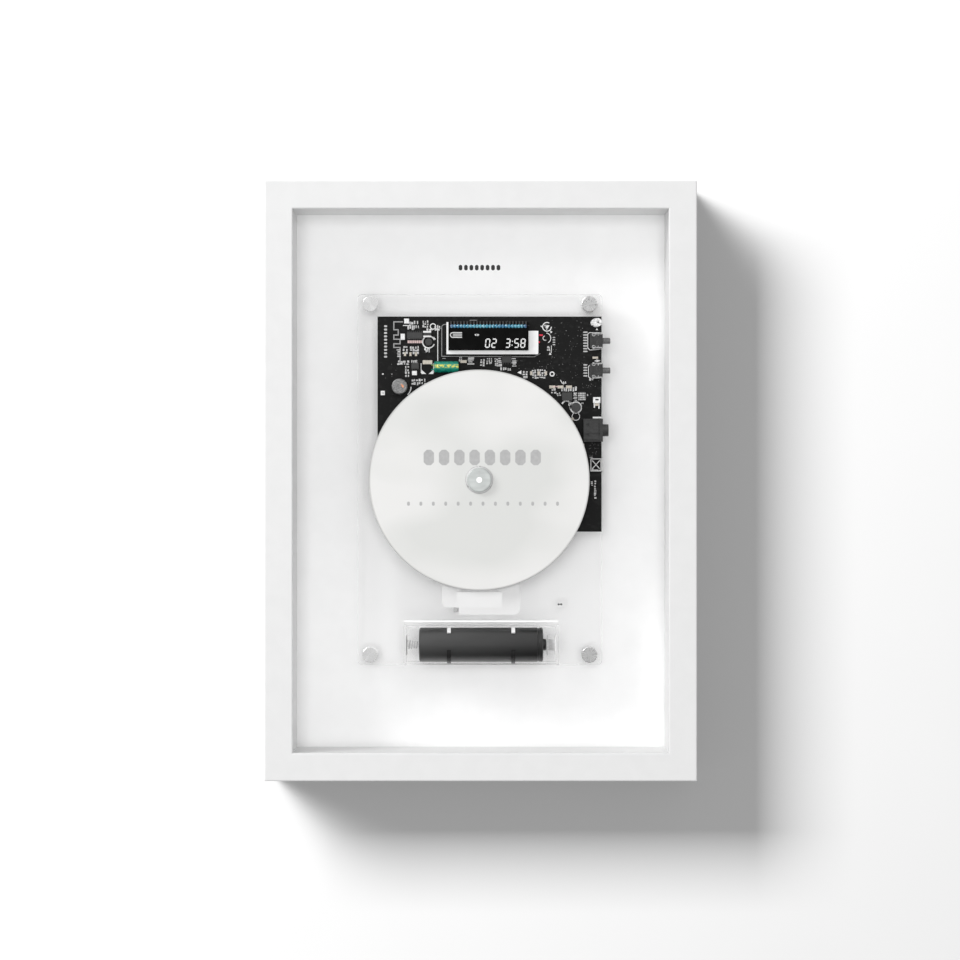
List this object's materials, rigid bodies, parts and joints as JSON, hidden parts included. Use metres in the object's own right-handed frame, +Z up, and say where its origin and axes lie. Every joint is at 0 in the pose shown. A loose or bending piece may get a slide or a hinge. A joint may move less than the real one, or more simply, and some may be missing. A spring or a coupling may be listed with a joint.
{
  "type": "wall mounted cd player",
  "caption": "Shadow-box disc player for a wall: white frame, clear plate on standoffs, open circuit board, display, bare disc on its spindle and battery.",
  "frame": {"origin": "midway between the two keyhole entries, in the plane that lies against the wall", "axes": "+Z up, +X to the right as seen from the front, +Y into the wall; the front faces -Y"},
  "size_m": [0.234, 0.045, 0.325],
  "materials": {
    "frame_white": "satin white lacquer",
    "board_white": "matte white",
    "zinc_steel": "zinc plated",
    "black_steel": "black oxide",
    "turned_aluminium": "turned",
    "clear_acrylic": "clear polished",
    "board_black": "black solder mask",
    "brass": "satin",
    "white_plastic": "moulded",
    "display_glass": "polished black",
    "pin_glue": "cured glue",
    "black_plastic": "moulded",
    "tinned_steel": "tinned",
    "teal_sleeve": "shrink sleeve",
    "can_aluminium": "satin",
    "chip_black": "moulded",
    "ceramic_tan": "fired",
    "black_rubber": "matte",
    "polished_steel": "polished",
    "motor_can": "drawn can",
    "grey_plastic": "moulded",
    "smoke_plastic": "translucent",
    "disc_white": "printed white",
    "ivory_plastic": "moulded",
    "lens_glass": "coated",
    "nickel_steel": "nickel plated",
    "battery_wrap": "shrink wrap"
  },
  "bodies": {
    "player": {"frame_rail_top": "frame_white", "frame_rail_bottom": "frame_white", "frame_rail_left": "frame_white", "frame_rail_right": "frame_white", "corner_v_nails": "zinc_steel", "back_board": "board_white", "board_screws": "zinc_steel", "keyhole_hangers": "zinc_steel", "hanger_screws": "zinc_steel", "standoff_posts": "turned_aluminium", "standoff_screws": "black_steel", "standoff_caps": "turned_aluminium", "acrylic_plate": "clear_acrylic", "circuit_board": "board_black", "board_spacers": "brass", "circuit_board_screws": "zinc_steel", "lcd_backlight": "white_plastic", "lcd_glass": "display_glass", "lcd_pins": "pin_glue", "power_switch_body": "black_plastic", "function_switch_body": "black_plastic", "headphone_jack": "black_plastic", "charging_port": "tinned_steel", "lying_capacitor": "teal_sleeve", "can_capacitor": "can_aluminium", "chips": "chip_black", "chip_parts": "ceramic_tan", "mech_chassis": "white_plastic", "damper_grommets": "black_rubber", "damper_screws": "zinc_steel", "guide_rods": "polished_steel", "motor_screws": "zinc_steel", "spindle_motor": "motor_can", "sled_motor": "motor_can", "gear_axle": "polished_steel", "battery_holder": "clear_acrylic", "holder_screws": "zinc_steel", "battery_clips": "clear_acrylic", "spring_contact": "nickel_steel", "leaf_contact": "nickel_steel", "wire_grommet": "white_plastic"},
    "spindle": {"spindle_shaft": "polished_steel", "turntable": "grey_plastic", "turntable_pad": "black_rubber", "hub_cap": "smoke_plastic", "chuck_balls": "polished_steel"},
    "disc": {"disc": "disc_white"},
    "sled": {"sled_body": "black_plastic", "sled_rack": "ivory_plastic"},
    "lens": {"lens_holder": "black_plastic", "objective_lens": "lens_glass"},
    "large_gear": {"drive_gear": "ivory_plastic"},
    "pinion": {"motor_pinion": "brass"},
    "power_key": {"power_button": "black_plastic"},
    "function_key": {"function_button": "black_plastic"},
    "battery": {"battery_cell": "battery_wrap"}
  },
  "joints": [
    {"name": "spindle_spin", "type": "hinge", "parent": "player", "child": "spindle", "pos_m": [-0.0008, -0.037, -0.1175], "axis": [0, -1, 0], "continuous": true},
    {"name": "disc_lift", "type": "slide", "parent": "spindle", "child": "disc", "axis": [0, -1, 0], "range_m": [0, 0.03]},
    {"name": "sled_travel", "type": "slide", "parent": "player", "child": "sled", "axis": [0, 0, -1], "range_m": [0, 0.034]},
    {"name": "large_gear_spin", "type": "hinge", "parent": "player", "child": "large_gear", "pos_m": [-0.02092, -0.03, -0.1485], "axis": [0, 1, 0], "range_deg": [0, 655]},
    {"name": "pinion_spin", "type": "hinge", "parent": "player", "child": "pinion", "pos_m": [-0.02959, -0.03, -0.1435], "axis": [0, 1, 0], "range_deg": [-1530, 0]},
    {"name": "lens_focus", "type": "slide", "parent": "sled", "child": "lens", "axis": [0, -1, 0], "range_m": [-0.0006, 0.0006], "stiffness_N_per_m": 30},
    {"name": "power_press", "type": "slide", "parent": "player", "child": "power_key", "axis": [-1, 0, 0], "range_m": [0, 0.0004], "stiffness_N_per_m": 2000, "springref_m": -0.0002},
    {"name": "function_press", "type": "slide", "parent": "player", "child": "function_key", "axis": [-1, 0, 0], "range_m": [0, 0.0004], "stiffness_N_per_m": 2000, "springref_m": -0.0002},
    {"name": "battery_lift", "type": "slide", "parent": "player", "child": "battery", "axis": [0, -1, 0], "range_m": [0, 0.03], "deforming": ["battery_clips"]}
  ],
  "couplings": [
    {"joint": "large_gear_spin", "follows": "sled_travel", "rad_per_m": 333.33},
    {"joint": "pinion_spin", "follows": "sled_travel", "rad_per_m": -777.78}
  ]
}
